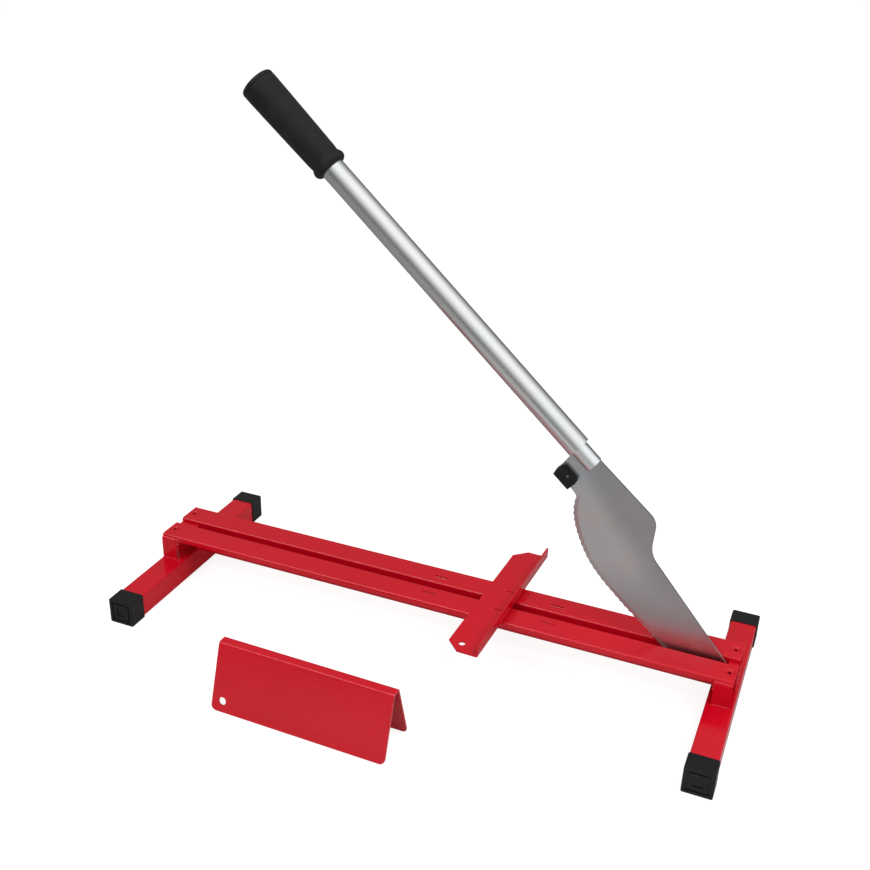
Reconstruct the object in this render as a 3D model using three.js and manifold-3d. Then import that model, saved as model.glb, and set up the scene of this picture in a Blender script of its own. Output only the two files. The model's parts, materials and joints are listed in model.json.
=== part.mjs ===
// Panel guillotine: a bench cutter for laminate boards.
// Millimetres, +Z up. X runs along the bed, +Y is the far side and Z zero is the floor.

import * as THREE from 'three';
import * as BufferGeometryUtils from 'three/addons/utils/BufferGeometryUtils.js';
import Module from 'manifold-3d';

// Fits and fineness that serve the whole object
const SEAT_GAP = 0.3;
const RUNNING_GAP = 0.08;
const CUT_OVERRUN = 1;
const ROUND_SEGMENTS = 48;
const SMALL_SEGMENTS = 24;
const ARC_STEPS = 5;
const HEX_SIDES = 6;

// Directions
const LEFT = -1;
const RIGHT = 1;
const FRONT = -1;
const BACK = 1;
const ENDS = { left: LEFT, right: RIGHT };
const SIDES = { front: FRONT, back: BACK };
const QUARTER_TURN = Math.PI / 2;

// Feet
const FOOT_SPACING = 679.2;
const FOOT_DEPTH = 293.6;
const FOOT_TUBE = 29.4;
const FOOT_TUBE_WALL = 1.6;
const FOOT_TUBE_CORNER = 2;
const CAP_WALL = 0.9;
const CAP_LENGTH = 23.3;
const CAP_END_WALL = 3;
const CAP_CORNER = 1.9;
const CAP_EDGE_ROUND = 0.8;
const CAP_RING_INSET = 4;
const CAP_RING_WIDTH = 1.8;
const CAP_PANEL = 11;
const CAP_RELIEF = 0.9;

const CAP_BORE = FOOT_TUBE + SEAT_GAP * 2;
const CAP_SIZE = CAP_BORE + CAP_WALL * 2;
const FOOT_MID_Z = CAP_SIZE / 2;
const FOOT_TOP_Z = FOOT_MID_Z + FOOT_TUBE / 2;

// Rails
const RAIL_OVERHANG = 12.4;
const RAIL_SHIFT = -1.8;
const RAIL_HEIGHT = 31.9;
const RAIL_WIDTH = 32;
const RAIL_SHEET = 2;
const RAIL_LIP = 7;
const RAIL_BEND = 1.7;
const SLOT_WIDTH = 11;

const SLOT_HALF = SLOT_WIDTH / 2;
const RAIL_FOOT_Z = FOOT_TOP_Z + SEAT_GAP;
const RAIL_TOP_Z = RAIL_FOOT_Z + RAIL_HEIGHT;
const RAIL_UNDER_Z = RAIL_TOP_Z - RAIL_SHEET;
const RAIL_OUTER_Y = SLOT_HALF + RAIL_WIDTH;
const RAIL_HALF = FOOT_SPACING / 2 + RAIL_OVERHANG;
const RAIL_RIGHT_X = RAIL_SHIFT + RAIL_HALF;

// Saddles that hold the rails on the feet
const SADDLE_WIDTH = 19.2;
const SADDLE_SHEET = 2;
const SADDLE_BEND = 3;
const SADDLE_INSET = 0.4;
const SADDLE_SIDE_GAP = 0.6;
const SADDLE_TOP_Z = RAIL_UNDER_Z - SEAT_GAP;
const SADDLE_INNER_Y = SLOT_HALF + RAIL_SHEET / 2 + RAIL_BEND + SEAT_GAP;

// Screws and nuts of the saddles
const SCREW_INSET = 7.4;
const SCREW_HEAD_RADIUS = 4.6;
const SCREW_SHANK_RADIUS = 2.5;
const SCREW_LENGTH = 10.6;
const SCREW_DROP = 0.7;
const SOCKET_RADIUS = 2.5;
const SOCKET_DEPTH = 1.9;
const SMALL_NUT_RADIUS = 4.6;
const SMALL_NUT_HEIGHT = 4;

const SCREW_Y = SLOT_HALF + RAIL_WIDTH / 2;
const SCREW_TOP_Z = RAIL_TOP_Z - SCREW_DROP;
const SCREW_HOLE_RADIUS = SCREW_SHANK_RADIUS + SEAT_GAP;
const SINK_RADIUS = SCREW_HEAD_RADIUS + SCREW_DROP + SEAT_GAP;
const SADDLE_HOLE_RADIUS = SINK_RADIUS - (RAIL_TOP_Z - SADDLE_TOP_Z);

// Pivot
const PIVOT_INSET = 27.2;
const PIVOT_DROP = 18.8;
const PIVOT_RADIUS = 4;
const PIVOT_HEAD_RADIUS = 7.5;
const PIVOT_HEAD_HEIGHT = 5.3;
const PIVOT_NUT_HEIGHT = 6.5;
const PIVOT_TAIL = 2.2;
const WASHER_RADIUS = 8.6;

const PIVOT_X = RAIL_RIGHT_X - PIVOT_INSET;
const PIVOT_Z = RAIL_TOP_Z - PIVOT_DROP;
const PIVOT_HOLE_RADIUS = PIVOT_RADIUS + SEAT_GAP;
const FLANGE_FACE_Y = SLOT_HALF + RAIL_SHEET + SEAT_GAP;

// Fence: a bent plate whose tabs drop into one pair of the rails' slots
const FENCE_X = 86;
const FAR_SLOT_X = 142;
const FENCE_SKEW_DEGREES = -1.8;
const FENCE_WIDTH = 39.8;
const FENCE_FRONT = 110;
const FENCE_BACK = 111.5;
const FENCE_SHEET = 2;
const FENCE_RISE = 15;
const FENCE_BEND = 2;
const FENCE_CHAMFER_WIDTH = 15;
const FENCE_CHAMFER_DEPTH = 14.5;
const FENCE_HOLE_RADIUS = 3.7;
const FENCE_HOLE_IN = 15.4;
const FENCE_HOLE_UP = 14.2;
const TAB_INSET = 11.8;
const TAB_LENGTH = 11;
const TAB_SHEET = 1.8;
const TAB_DEPTH = 7;
const TAB_RELIEF = 1.6;
const TAB_SIDE_GAP = 0.6;
const TAB_END_GAP = 2.7;
const TAB_WIDTH_SHARE = 0.39;

const TAB_Y = SLOT_HALF + RAIL_WIDTH * TAB_WIDTH_SHARE;
const FENCE_RIGHT_X = FENCE_X + TAB_INSET;
const FENCE_LEFT_X = FENCE_RIGHT_X - FENCE_WIDTH;
const FENCE_UNDER_Z = RAIL_TOP_Z + SEAT_GAP;
const FENCE_PLATE_Z = FENCE_UNDER_Z + FENCE_SHEET;

// Blade, measured back and up from the pivot
const BLADE_REACH = 168.6;
const BLADE_RISE = 231.6;
const BLADE_THICKNESS = 2.5;
const EDGE_THICKNESS = 0.4;
const BEVEL_WIDTH = 5.5;
const TOOTH_PITCH = 7.6;
const TOOTH_DEPTH = 0.9;
const TOOTH_STEPS = 5;
const LUG_RADIUS = 13;
const LUG_START_DEGREES = 255;
const LUG_END_DEGREES = 360;
const LUG_STEPS = 12;
const HEEL_OUT = 14.3;
const HEEL_UP = 12.8;
const HEEL_ROUND = 3;
const WAIST_ROUND = 28;
const SHOULDER_ROUND = 19;
const WAIST_SHARES = [0.479, 0.537];
const SHOULDER_SHARES = [0.464, 0.712];
const EDGE_SHARES = [
  [0.989, 0.762], [0.999, 0.689], [0.986, 0.624], [0.943, 0.534], [0.871, 0.434], [0.779, 0.351],
  [0.683, 0.283], [0.584, 0.217], [0.478, 0.155], [0.368, 0.084], [0.231, -0.009],
];

// Spacers between the rails: the raised blade's heel stops at the right one
const SPACER_DROP = 4.7;
const SPACER_INSET = 0.6;
const LEFT_SPACER_LENGTH = 25;
const HEEL_STOP_GAP = 1.5;
const SPACER_TOP_Z = RAIL_TOP_Z - SPACER_DROP;
const RIGHT_SPACER_LENGTH = RAIL_RIGHT_X - SPACER_INSET - (PIVOT_X + HEEL_OUT + HEEL_STOP_GAP);

// Lever: stations run up its axis from the tube's lower end, across is towards the cutting edge
const LEVER_DEGREES = 137.76;
const TUBE_RADIUS = 13;
const TUBE_LENGTH = 491.5;
const STUB_RADIUS = 9.7;
const STUB_OUT = 24.5;
const STUB_IN = 58;
const STUB_SOLID = 13;
const TANG_LENGTH = 43;
const TANG_SIDE_GAP = 0.6;
const TANG_PIN_RADIUS = 2.5;
const TANG_PIN_SHARES = { lower: 0.3, upper: 0.72 };
const TANG_PIN_END_GAP = 0.5;

const LEVER_ANGLE = THREE.MathUtils.degToRad(LEVER_DEGREES);
const LEVER_X = PIVOT_X - BLADE_REACH;
const LEVER_Z = PIVOT_Z + BLADE_RISE;
const TUBE_BORE = STUB_RADIUS + SEAT_GAP;
const STUB_SLOT = BLADE_THICKNESS + SEAT_GAP * 2;
const TANG_HALF = STUB_RADIUS - TANG_SIDE_GAP;

// Grip: shares of its length, from its collar to its end, and of its widest radius
const GRIP_OVERHANG = 8;
const GRIP_LENGTH = 117;
const GRIP_RADIUS = 19.1;
const GRIP_PROFILE_SHARES = [
  [0, 0.8], [0.007, 0.885], [0.02, 0.953], [0.034, 0.984], [0.047, 0.995], [0.062, 0.979], [0.077, 0.937],
  [0.09, 0.89], [0.101, 0.874], [0.115, 0.885], [0.15, 0.9], [0.303, 0.922], [0.534, 0.953],
  [0.765, 0.984], [0.919, 1], [0.97, 1], [0.985, 0.984], [0.995, 0.948], [1, 0.89],
];
const GRIP_END = TUBE_LENGTH + GRIP_OVERHANG;
const GRIP_START = GRIP_END - GRIP_LENGTH;
const GRIP_BORE = TUBE_RADIUS + SEAT_GAP;

// Stop block on the blade's shoulder
const STOP_DROP = 4.7;
const STOP_OFFSET = 24.6;
const STOP_LENGTH = 22.9;
const STOP_HEIGHT = 14.9;
const STOP_WIDTH = 16;
const STOP_ROUND = 3.5;
const STOP_CORNER = 1;
const STOP_WALL = 3.2;
const STOP_PIN_RADIUS = 1;
const STOP_PIN_UP = 3.4;
const STOP_PIN_HEAD_RADIUS = 1.3;
const STOP_PIN_HEAD = 0.7;
const SHOULDER_DROP = 0.9;
const SHOULDER_SLOPE_DROP = 3.2;
const TAB_SLOPE = 3.4;

const STOP_FOOT = -STOP_DROP - STOP_LENGTH;
const STOP_TOP_ACROSS = STOP_OFFSET + STOP_HEIGHT;
const BLADE_TAB_ACROSS = STOP_TOP_ACROSS - STOP_WALL - SEAT_GAP;
const STOP_PIN_STATION = -STOP_DROP - STOP_LENGTH / 2;
const STOP_PIN_ACROSS = STOP_OFFSET + STOP_PIN_UP;
const STOP_PIN_HOLE = STOP_PIN_RADIUS + SEAT_GAP;
const STOP_SLOT = BLADE_THICKNESS + SEAT_GAP * 2;

// Folded support that stands in front of the bed
const SUPPORT_X = -57.6;
const SUPPORT_SPACE = 31.6;
const SUPPORT_TURN_DEGREES = -0.7;
const SUPPORT_LENGTH = 204.5;
const SUPPORT_HEIGHT = 72;
const SUPPORT_TOP = 10;
const SUPPORT_RUN = 22.6;
const SUPPORT_SHEET = 2;
const SUPPORT_BEND = 1.8;
const SUPPORT_CORNER = 6;
const SUPPORT_HOLE_RADIUS = 4.4;
const SUPPORT_HOLE_IN = 12.5;
const SUPPORT_HOLE_UP = 12;
const SUPPORT_Y = -FOOT_DEPTH / 2 - SUPPORT_SPACE - SUPPORT_TOP / 2 - SUPPORT_RUN;

// Colours, roughness and metalness
const FINISHES = {
  redPaint: [0xc31a24, 0.34, 0],
  blackPlastic: [0x1c1c1e, 0.55, 0],
  blackRubber: [0x161617, 0.8, 0],
  zincSteel: [0xb8babb, 0.3, 1],
  bladeSteel: [0x9a9798, 0.42, 1],
  darkSteel: [0x4a4a4c, 0.5, 1],
};

const wasm = await Module();
wasm.setup();

const group = new THREE.Group();
group.name = 'panel_guillotine';

const materials = Object.fromEntries(
  Object.entries(FINISHES).map(([kind, [color, roughness, metalness]]) =>
    [kind, new THREE.MeshStandardMaterial({ color, roughness, metalness })]),
);

function addNode(name, kind, solid) {
  const mesh = new THREE.Mesh(toGeometry(solid), materials[kind]);
  mesh.name = name;
  group.add(mesh);
}

// Solids from closed meshes, and back
function toSolid(geometry) {
  const bare = geometry.clone();
  bare.deleteAttribute('normal');
  bare.deleteAttribute('uv');
  const merged = BufferGeometryUtils.mergeVertices(bare);
  return new wasm.Manifold(new wasm.Mesh({
    numProp: 3,
    vertProperties: new Float32Array(merged.attributes.position.array),
    triVerts: new Uint32Array(merged.index.array),
  }));
}

function toGeometry(solid) {
  const mesh = solid.getMesh();
  const geometry = new THREE.BufferGeometry();
  const positions = new Float32Array(mesh.vertProperties);
  geometry.setAttribute('position', new THREE.BufferAttribute(positions, 3));
  geometry.setIndex(new THREE.BufferAttribute(new Uint32Array(mesh.triVerts), 1));
  geometry.computeVertexNormals();
  return geometry;
}

function join(solids) {
  return solids.reduce((sum, solid) => sum.add(solid));
}

function cutAll(solid, cutters) {
  return cutters.reduce((rest, cutter) => rest.subtract(cutter), solid);
}

function placed(solid, matrix) {
  const geometry = toGeometry(solid);
  geometry.applyMatrix4(matrix);
  return toSolid(geometry);
}

// Low and high of two values, whichever side they are on
function span(a, b) {
  return [Math.min(a, b), Math.max(a, b)];
}

function box([x0, x1], [y0, y1], [z0, z1]) {
  const geometry = new THREE.BoxGeometry(x1 - x0, y1 - y0, z1 - z0);
  geometry.translate((x0 + x1) / 2, (y0 + y1) / 2, (z0 + z1) / 2);
  return toSolid(geometry);
}

function shapeOf(points, holes) {
  const vectors = (line) => line.map(([u, v]) => new THREE.Vector2(u, v));
  const shape = new THREE.Shape(vectors(points));
  shape.holes = holes.map((hole) => new THREE.Path(vectors(hole)));
  return shape;
}

// Section in Y and Z, run along X
function runAlongX(points, [x0, x1]) {
  const geometry = new THREE.ExtrudeGeometry(shapeOf(points, []), { depth: x1 - x0, bevelEnabled: false });
  geometry.applyMatrix4(new THREE.Matrix4().makeBasis(
    new THREE.Vector3(0, 1, 0), new THREE.Vector3(0, 0, 1), new THREE.Vector3(1, 0, 0),
  ));
  geometry.translate(x0, 0, 0);
  return toSolid(geometry);
}

// Outline in X and Z, run along Y
function runAlongY(points, [y0, y1], holes = [], bevel = 0) {
  const geometry = new THREE.ExtrudeGeometry(shapeOf(points, holes), {
    depth: y1 - y0 - bevel * 2,
    bevelEnabled: bevel > 0,
    bevelSize: bevel,
    bevelThickness: bevel,
    bevelOffset: -bevel,
    bevelSegments: 2,
  });
  geometry.applyMatrix4(new THREE.Matrix4().makeBasis(
    new THREE.Vector3(1, 0, 0), new THREE.Vector3(0, 0, 1), new THREE.Vector3(0, -1, 0),
  ));
  geometry.translate(0, y1 - bevel, 0);
  return toSolid(geometry);
}

// Outline in X and Y, run along Z
function runAlongZ(points, [z0, z1]) {
  const geometry = new THREE.ExtrudeGeometry(shapeOf(points, []), { depth: z1 - z0, bevelEnabled: false });
  geometry.translate(0, 0, z0);
  return toSolid(geometry);
}

// Round corners in the order low-low, high-low, high-high, low-high
function roundedRectangle([u0, u1], [v0, v1], radii) {
  const corners = [[u0, v0, 1, 1], [u1, v0, -1, 1], [u1, v1, -1, -1], [u0, v1, 1, -1]];
  return corners.flatMap(([u, v, du, dv], index) => {
    const radius = radii[index];
    return Array.from({ length: ARC_STEPS + 1 }, (_, step) => {
      const angle = Math.PI + QUARTER_TURN * (index + step / ARC_STEPS);
      return [u + radius * (du + Math.cos(angle)), v + radius * (dv + Math.sin(angle))];
    });
  });
}

function roundedSquare([u, v], size, radius) {
  return roundedRectangle([u - size / 2, u + size / 2], [v - size / 2, v + size / 2],
    [radius, radius, radius, radius]);
}

// A line through corners, each rounded by its own radius, as points with left-hand normals
function roundedLine(corners, radii) {
  const points = corners.map(([u, v]) => new THREE.Vector2(u, v));
  const headings = points.slice(1).map((point, index) => point.clone().sub(points[index]).normalize());
  const leftOf = (direction) => new THREE.Vector2(-direction.y, direction.x);
  const line = [{ point: points[0], normal: leftOf(headings[0]) }];
  radii.forEach((radius, index) => {
    const before = headings[index];
    const after = headings[index + 1];
    const turn = Math.atan2(before.cross(after), before.dot(after));
    const reach = radius * Math.tan(Math.abs(turn) / 2);
    const start = points[index + 1].clone().addScaledVector(before, -reach);
    const centre = start.clone().addScaledVector(leftOf(before), radius * Math.sign(turn));
    for (let step = 0; step <= ARC_STEPS; step += 1) {
      const angle = turn * step / ARC_STEPS;
      const point = start.clone().rotateAround(centre, angle);
      line.push({ point, normal: leftOf(before).rotateAround(new THREE.Vector2(), angle) });
    }
  });
  line.push({ point: points[points.length - 1], normal: leftOf(headings[headings.length - 1]) });
  return line;
}

// Outline of a bent sheet: both faces lie half the sheet from its middle line
function bentSheet(corners, sheet, radius) {
  const line = roundedLine(corners, corners.slice(2).map(() => radius));
  const face = (offset) => line.map(({ point, normal }) => {
    const moved = point.clone().addScaledVector(normal, offset);
    return [moved.x, moved.y];
  });
  return [...face(sheet / 2), ...face(-sheet / 2).reverse()];
}

function barAlongY(x, z, radius, [y0, y1], segments = ROUND_SEGMENTS) {
  const geometry = new THREE.CylinderGeometry(radius, radius, y1 - y0, segments);
  geometry.translate(x, (y0 + y1) / 2, z);
  return toSolid(geometry);
}

function barAlongZ(x, y, radius, [z0, z1], segments = SMALL_SEGMENTS) {
  const geometry = new THREE.CylinderGeometry(radius, radius, z1 - z0, segments);
  geometry.rotateX(QUARTER_TURN);
  geometry.translate(x, y, (z0 + z1) / 2);
  return toSolid(geometry);
}

// Turned solid from radius and height pairs, standing on Z
function turned(profile, segments = ROUND_SEGMENTS) {
  const points = profile.map(([radius, height]) => new THREE.Vector2(radius, height));
  const geometry = new THREE.LatheGeometry(points, segments);
  geometry.rotateX(QUARTER_TURN);
  return toSolid(geometry);
}

// The lever's own directions
const ALONG = new THREE.Vector3(Math.cos(LEVER_ANGLE), 0, Math.sin(LEVER_ANGLE));
const ACROSS = new THREE.Vector3(-Math.sin(LEVER_ANGLE), 0, Math.cos(LEVER_ANGLE));

function leverPoint(station, across) {
  return [
    LEVER_X + ALONG.x * station + ACROSS.x * across,
    LEVER_Z + ALONG.z * station + ACROSS.z * across,
  ];
}

// Lays what stands on Z along the lever's axis
function onLever(solid) {
  const sideways = new THREE.Vector3().crossVectors(ALONG, ACROSS);
  const matrix = new THREE.Matrix4().makeBasis(ACROSS, sideways, ALONG);
  matrix.setPosition(LEVER_X, 0, LEVER_Z);
  return placed(solid, matrix);
}

// A round bar or hole through the lever, across its flat sides
function crossBar(station, across, radius, halfLength) {
  const [x, z] = leverPoint(station, across);
  return barAlongY(x, z, radius, [-halfLength, halfLength], SMALL_SEGMENTS);
}

// Outline in stations and across, run along Y
function leverPlate(points, halfWidth) {
  return runAlongY(points.map(([station, across]) => leverPoint(station, across)), [-halfWidth, halfWidth]);
}

// Feet
function footTube(end) {
  const middle = [end * FOOT_SPACING / 2, FOOT_MID_Z];
  const outer = roundedSquare(middle, FOOT_TUBE, FOOT_TUBE_CORNER);
  const inner = roundedSquare(middle, FOOT_TUBE - FOOT_TUBE_WALL * 2, FOOT_TUBE_CORNER - FOOT_TUBE_WALL);
  const reach = FOOT_DEPTH / 2 - CAP_END_WALL - SEAT_GAP;
  return runAlongY(outer, [-reach, reach], [inner]);
}

// The cap's end face has a sunk square ring and a sunk square inside it
function footCap(end, side) {
  const middle = [end * FOOT_SPACING / 2, FOOT_MID_Z];
  const faceY = side * FOOT_DEPTH / 2;
  const mouthY = faceY - side * CAP_LENGTH;
  const outline = roundedSquare(middle, CAP_SIZE, CAP_CORNER);
  const body = runAlongY(outline, span(faceY, mouthY), [], CAP_EDGE_ROUND);
  const bore = runAlongY(roundedSquare(middle, CAP_BORE, FOOT_TUBE_CORNER),
    span(mouthY - side * CUT_OVERRUN, faceY - side * CAP_END_WALL));
  const ringSize = CAP_SIZE - CAP_RING_INSET * 2;
  const relief = span(faceY - side * CAP_RELIEF, faceY + side * CUT_OVERRUN);
  const ring = runAlongY(roundedSquare(middle, ringSize, CAP_EDGE_ROUND), relief,
    [roundedSquare(middle, ringSize - CAP_RING_WIDTH * 2, CAP_EDGE_ROUND)]);
  const panel = runAlongY(roundedSquare(middle, CAP_PANEL, CAP_EDGE_ROUND), relief);
  return cutAll(body, [bore, ring, panel]);
}

// A place along the rails, measured in from one of their ends
function railX(end, inset) {
  return RAIL_SHIFT + end * (RAIL_HALF - inset);
}

function screwX(end) {
  return railX(end, SCREW_INSET);
}

// Rails: lip, top and slot flange are one bent sheet
function railBlank(side) {
  const skin = RAIL_SHEET / 2;
  const corners = [
    [side * (RAIL_OUTER_Y - skin), RAIL_TOP_Z - RAIL_LIP],
    [side * (RAIL_OUTER_Y - skin), RAIL_TOP_Z - skin],
    [side * (SLOT_HALF + skin), RAIL_TOP_Z - skin],
    [side * (SLOT_HALF + skin), RAIL_FOOT_Z],
  ];
  return runAlongX(bentSheet(corners, RAIL_SHEET, RAIL_BEND), [railX(LEFT, 0), railX(RIGHT, 0)]);
}

// The lip stops short where a saddle's bend comes out under the rail's top
function lipNotch(end, side) {
  const outer = railX(end, -CUT_OVERRUN);
  const inner = railX(end, SADDLE_INSET + SADDLE_WIDTH + SADDLE_SIDE_GAP);
  return box(span(outer, inner),
    span(side * (RAIL_OUTER_Y - RAIL_SHEET - RAIL_BEND), side * (RAIL_OUTER_Y + CUT_OVERRUN)),
    [RAIL_TOP_Z - RAIL_LIP - CUT_OVERRUN, RAIL_UNDER_Z]);
}

function tabSlot(x, side) {
  const halfLength = TAB_LENGTH / 2 + TAB_END_GAP;
  const halfWidth = TAB_SHEET / 2 + TAB_SIDE_GAP;
  const y = side * TAB_Y;
  return box([x - halfLength, x + halfLength], [y - halfWidth, y + halfWidth],
    [RAIL_UNDER_Z - CUT_OVERRUN, RAIL_TOP_Z + CUT_OVERRUN]);
}

function sunkHole(end, side) {
  const profile = [
    [0, RAIL_UNDER_Z - CUT_OVERRUN],
    [SINK_RADIUS - RAIL_SHEET - CUT_OVERRUN, RAIL_UNDER_Z - CUT_OVERRUN],
    [SINK_RADIUS + CUT_OVERRUN, RAIL_TOP_Z + CUT_OVERRUN],
    [0, RAIL_TOP_Z + CUT_OVERRUN],
  ];
  return placed(turned(profile), new THREE.Matrix4().makeTranslation(screwX(end), side * SCREW_Y, 0));
}

function rail(side) {
  const ends = Object.values(ENDS);
  const flange = span(side * (SLOT_HALF - CUT_OVERRUN), side * (SLOT_HALF + RAIL_SHEET + CUT_OVERRUN));
  return cutAll(railBlank(side), [
    ...ends.map((end) => lipNotch(end, side)),
    ...ends.map((end) => sunkHole(end, side)),
    ...[0, FENCE_X, FAR_SLOT_X].map((x) => tabSlot(x, side)),
    barAlongY(PIVOT_X, PIVOT_Z, PIVOT_HOLE_RADIUS, flange),
  ]);
}

// Saddles, spacers, screws and nuts
function saddle(end, side) {
  const skin = SADDLE_SHEET / 2;
  const legY = side * (RAIL_OUTER_Y + SEAT_GAP + skin);
  const corners = [
    [legY, RAIL_FOOT_Z],
    [legY, SADDLE_TOP_Z - skin],
    [side * SADDLE_INNER_Y, SADDLE_TOP_Z - skin],
  ];
  const strap = runAlongX(bentSheet(corners, SADDLE_SHEET, SADDLE_BEND),
    span(railX(end, SADDLE_INSET), railX(end, SADDLE_INSET + SADDLE_WIDTH)));
  const hole = barAlongZ(screwX(end), side * SCREW_Y, SADDLE_HOLE_RADIUS,
    [SADDLE_TOP_Z - SADDLE_SHEET - CUT_OVERRUN, SADDLE_TOP_Z + CUT_OVERRUN]);
  return strap.subtract(hole);
}

function spacer(end, length) {
  const halfWidth = SLOT_HALF - SEAT_GAP;
  return box(span(railX(end, SPACER_INSET), railX(end, SPACER_INSET + length)), [-halfWidth, halfWidth],
    [RAIL_FOOT_Z, SPACER_TOP_Z]);
}

function railScrew(end, side) {
  const footZ = SCREW_TOP_Z - SCREW_LENGTH;
  const profile = [
    [0, footZ],
    [SCREW_SHANK_RADIUS, footZ],
    [SCREW_SHANK_RADIUS, SCREW_TOP_Z - (SCREW_HEAD_RADIUS - SCREW_SHANK_RADIUS)],
    [SCREW_HEAD_RADIUS, SCREW_TOP_Z],
    [0, SCREW_TOP_Z],
  ];
  const socket = barAlongZ(0, 0, SOCKET_RADIUS,
    [SCREW_TOP_Z - SOCKET_DEPTH, SCREW_TOP_Z + CUT_OVERRUN], HEX_SIDES);
  const screw = turned(profile, SMALL_SEGMENTS).subtract(socket);
  return placed(screw, new THREE.Matrix4().makeTranslation(screwX(end), side * SCREW_Y, 0));
}

function railNut(end, side) {
  const topZ = SADDLE_TOP_Z - SADDLE_SHEET - SEAT_GAP;
  const footZ = topZ - SMALL_NUT_HEIGHT;
  const body = barAlongZ(screwX(end), side * SCREW_Y, SMALL_NUT_RADIUS, [footZ, topZ], HEX_SIDES);
  const bore = barAlongZ(screwX(end), side * SCREW_Y, SCREW_HOLE_RADIUS,
    [footZ - CUT_OVERRUN, topZ + CUT_OVERRUN]);
  return body.subtract(bore);
}

// Pivot: a bolt through both slot flanges and the blade
function pivotBolt() {
  const headFace = -FLANGE_FACE_Y;
  const head = barAlongY(PIVOT_X, PIVOT_Z, PIVOT_HEAD_RADIUS,
    [headFace - PIVOT_HEAD_HEIGHT, headFace], HEX_SIDES);
  const shank = barAlongY(PIVOT_X, PIVOT_Z, PIVOT_RADIUS,
    [headFace - PIVOT_HEAD_HEIGHT / 2, FLANGE_FACE_Y + PIVOT_NUT_HEIGHT + PIVOT_TAIL]);
  return head.add(shank);
}

function pivotNut() {
  const ys = [FLANGE_FACE_Y, FLANGE_FACE_Y + PIVOT_NUT_HEIGHT];
  const bore = barAlongY(PIVOT_X, PIVOT_Z, PIVOT_HOLE_RADIUS, [ys[0] - CUT_OVERRUN, ys[1] + CUT_OVERRUN]);
  return barAlongY(PIVOT_X, PIVOT_Z, PIVOT_HEAD_RADIUS, ys, HEX_SIDES).subtract(bore);
}

function pivotWasher(side) {
  const [low, high] = span(side * (BLADE_THICKNESS / 2 + SEAT_GAP), side * (SLOT_HALF - SEAT_GAP));
  const bore = barAlongY(PIVOT_X, PIVOT_Z, PIVOT_HOLE_RADIUS, [low - CUT_OVERRUN, high + CUT_OVERRUN]);
  return barAlongY(PIVOT_X, PIVOT_Z, WASHER_RADIUS, [low, high]).subtract(bore);
}

// Fence
function fenceSheet() {
  const skin = FENCE_SHEET / 2;
  const corners = [
    [FENCE_RIGHT_X - skin, FENCE_UNDER_Z + FENCE_RISE],
    [FENCE_RIGHT_X - skin, FENCE_UNDER_Z + skin],
    [FENCE_LEFT_X, FENCE_UNDER_Z + skin],
  ];
  return runAlongY(bentSheet(corners, FENCE_SHEET, FENCE_BEND), [-FENCE_FRONT, FENCE_BACK]);
}

function fenceChamfer(endY, side) {
  const outerY = endY + side * CUT_OVERRUN;
  const outerX = FENCE_LEFT_X - CUT_OVERRUN;
  const points = [
    [outerX, outerY],
    [FENCE_LEFT_X + FENCE_CHAMFER_WIDTH, outerY],
    [FENCE_LEFT_X + FENCE_CHAMFER_WIDTH, endY],
    [FENCE_LEFT_X, endY - side * FENCE_CHAMFER_DEPTH],
    [outerX, endY - side * FENCE_CHAMFER_DEPTH],
  ];
  return runAlongZ(points, [RAIL_TOP_Z, FENCE_PLATE_Z + CUT_OVERRUN]);
}

function fenceTab(side) {
  const y = side * TAB_Y;
  return box([FENCE_X - TAB_LENGTH / 2, FENCE_X + TAB_LENGTH / 2], [y - TAB_SHEET / 2, y + TAB_SHEET / 2],
    [RAIL_TOP_Z - TAB_DEPTH, FENCE_PLATE_Z]);
}

// The narrow window that is left in the plate beside a bent-down tab
function tabWindow(side) {
  const inner = side * (TAB_Y + TAB_SHEET / 2);
  return box([FENCE_X - TAB_LENGTH / 2, FENCE_X + TAB_LENGTH / 2], span(inner, inner + side * TAB_RELIEF),
    [RAIL_TOP_Z, FENCE_PLATE_Z + CUT_OVERRUN]);
}

function fence() {
  const sides = Object.values(SIDES);
  const hole = barAlongZ(FENCE_LEFT_X + FENCE_HOLE_IN, FENCE_HOLE_UP - FENCE_FRONT, FENCE_HOLE_RADIUS,
    [RAIL_TOP_Z, FENCE_PLATE_Z + CUT_OVERRUN]);
  const sheet = cutAll(join([fenceSheet(), ...sides.map(fenceTab)]), [
    fenceChamfer(-FENCE_FRONT, FRONT), fenceChamfer(FENCE_BACK, BACK), ...sides.map(tabWindow), hole,
  ]);
  const skew = THREE.MathUtils.degToRad(FENCE_SKEW_DEGREES);
  const matrix = new THREE.Matrix4().makeTranslation(FENCE_X, 0, 0)
    .multiply(new THREE.Matrix4().makeRotationZ(skew))
    .multiply(new THREE.Matrix4().makeTranslation(-FENCE_X, 0, 0));
  return placed(sheet, matrix);
}

// Blade
function bladePoint([reachShare, riseShare]) {
  return [PIVOT_X - BLADE_REACH * reachShare, PIVOT_Z + BLADE_RISE * riseShare];
}

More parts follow.
